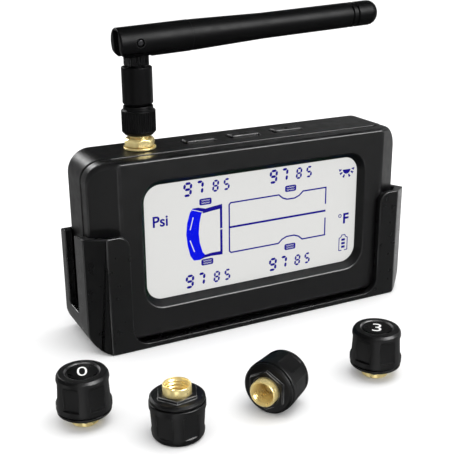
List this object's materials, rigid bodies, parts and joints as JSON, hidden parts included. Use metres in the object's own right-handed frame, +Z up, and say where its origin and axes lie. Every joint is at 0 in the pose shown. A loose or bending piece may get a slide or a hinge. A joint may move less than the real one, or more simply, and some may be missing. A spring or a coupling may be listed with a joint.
{
  "type": "tire pressure monitor",
  "caption": "Tyre pressure monitor: display unit with top buttons and a folding antenna, in an open-front dashboard cradle, with screw-on valve cap sensors.",
  "frame": {"origin": "centre of the cradle's flat base, on the surface it stands on", "axes": "+X to the display's right as a viewer faces it, -Y out of the display's face, +Z up"},
  "size_m": [0.1422, 0.0891, 0.1041],
  "materials": {
    "shell_plastic": "fine satin moulded plastic",
    "cradle_plastic": "satin moulded plastic",
    "foam": "closed-cell foam tape",
    "window": "clear acrylic",
    "lcd": "backlit grey-white display with dark blue segments",
    "diffuser": "white light guide",
    "board": "green solder mask",
    "foil": "foil pouch",
    "gloss_black": "polished",
    "steel": "plated",
    "button_plastic": "satin with raised marks",
    "brass": "machined and plated",
    "antenna_rubber": "soft-touch elastomer",
    "sensor_plastic": "satin glass-filled nylon"
  },
  "bodies": {
    "cradle": {"cradle_shell": "cradle_plastic", "cradle_adhesive_pad": "foam"},
    "monitor": {"front_shell": "shell_plastic", "rear_shell": "shell_plastic", "case_screw_1": "steel", "case_screw_2": "steel", "case_screw_3": "steel", "case_screw_4": "steel", "display_window": "window", "lcd_panel": "lcd", "backlight_panel": "diffuser", "main_board": "board", "battery_cell": "foil", "alarm_buzzer": "gloss_black", "charging_socket": "steel", "switch_up": "steel", "switch_mode": "steel", "switch_down": "steel", "sma_jack": "brass", "sma_washer": "brass", "sma_nut": "brass"},
    "button_up": {"button_up": "button_plastic"},
    "button_mode": {"button_mode": "button_plastic"},
    "button_down": {"button_down": "button_plastic"},
    "antenna_nut": {"antenna_nut": "antenna_rubber"},
    "antenna_swivel": {"antenna_barrel": "antenna_rubber", "antenna_knuckle": "antenna_rubber"},
    "antenna_whip": {"antenna_whip": "antenna_rubber", "antenna_hinge_pin": "steel", "antenna_radiator": "brass"},
    "sensor_0": {"sensor_0_base": "sensor_plastic", "sensor_0_insert": "brass", "sensor_0_pin": "brass", "sensor_0_board": "board", "sensor_0_battery": "steel"},
    "sensor_0_cap": {"sensor_0_cap": "sensor_plastic", "sensor_0_label": "gloss_black"},
    "sensor_1": {"sensor_1_base": "sensor_plastic", "sensor_1_insert": "brass", "sensor_1_pin": "brass", "sensor_1_board": "board", "sensor_1_battery": "steel"},
    "sensor_1_cap": {"sensor_1_cap": "sensor_plastic", "sensor_1_label": "gloss_black"},
    "sensor_2": {"sensor_2_base": "sensor_plastic", "sensor_2_insert": "brass", "sensor_2_pin": "brass", "sensor_2_board": "board", "sensor_2_battery": "steel"},
    "sensor_2_cap": {"sensor_2_cap": "sensor_plastic", "sensor_2_label": "gloss_black"},
    "sensor_3": {"sensor_3_base": "sensor_plastic", "sensor_3_insert": "brass", "sensor_3_pin": "brass", "sensor_3_board": "board", "sensor_3_battery": "steel"},
    "sensor_3_cap": {"sensor_3_cap": "sensor_plastic", "sensor_3_label": "gloss_black"}
  },
  "joints": [
    {"name": "monitor_lift", "type": "slide", "parent": "cradle", "child": "monitor", "axis": [0, 0, 1], "range_m": [0, 0.045]},
    {"name": "button_up_press", "type": "slide", "parent": "monitor", "child": "button_up", "axis": [0, 0, -1], "range_m": [0, 0.0006], "stiffness_N_per_m": 400, "springref_m": -0.001},
    {"name": "button_mode_press", "type": "slide", "parent": "monitor", "child": "button_mode", "axis": [0, 0, -1], "range_m": [0, 0.0006], "stiffness_N_per_m": 400, "springref_m": -0.001},
    {"name": "button_down_press", "type": "slide", "parent": "monitor", "child": "button_down", "axis": [0, 0, -1], "range_m": [0, 0.0006], "stiffness_N_per_m": 400, "springref_m": -0.001},
    {"name": "antenna_nut_turn", "type": "hinge", "parent": "monitor", "child": "antenna_nut", "pos_m": [-0.0363, 0.0017, 0.0713], "axis": [0, 0, 1], "continuous": true},
    {"name": "antenna_swivel_turn", "type": "hinge", "parent": "monitor", "child": "antenna_swivel", "pos_m": [-0.0363, 0.0017, 0.08], "axis": [0, 0, 1], "continuous": true},
    {"name": "antenna_whip_tilt", "type": "hinge", "parent": "antenna_swivel", "child": "antenna_whip", "pos_m": [-0.0363, 0.0017, 0.0954], "axis": [0, -1, 0], "range_deg": [-3, 87]},
    {"name": "sensor_0_lift", "type": "slide", "parent": "cradle", "child": "sensor_0", "axis": [0, 0, 1], "range_m": [0, 0.03]},
    {"name": "sensor_0_cap_turn", "type": "hinge", "parent": "sensor_0", "child": "sensor_0_cap", "pos_m": [-0.074, -0.0461, 0.0076], "axis": [0, 0, 1], "range_deg": [0, 450]},
    {"name": "sensor_1_lift", "type": "slide", "parent": "cradle", "child": "sensor_1", "axis": [0, 0, 1], "range_m": [0, 0.03]},
    {"name": "sensor_1_cap_turn", "type": "hinge", "parent": "sensor_1", "child": "sensor_1_cap", "pos_m": [-0.054, -0.0643, 0.0076], "axis": [0, 0, -1], "range_deg": [0, 450]},
    {"name": "sensor_2_lift", "type": "slide", "parent": "cradle", "child": "sensor_2", "axis": [0, 0, 1], "range_m": [0, 0.03]},
    {"name": "sensor_2_cap_turn", "type": "hinge", "parent": "sensor_2", "child": "sensor_2_cap", "pos_m": [-0.0243, -0.0645, 0.0077], "axis": [0.848, 0.5299, 0], "range_deg": [0, 450]},
    {"name": "sensor_3_lift", "type": "slide", "parent": "cradle", "child": "sensor_3", "axis": [0, 0, 1], "range_m": [0, 0.03]},
    {"name": "sensor_3_cap_turn", "type": "hinge", "parent": "sensor_3", "child": "sensor_3_cap", "pos_m": [0.0125, -0.0613, 0.0076], "axis": [0, 0, 1], "range_deg": [0, 450]}
  ]
}
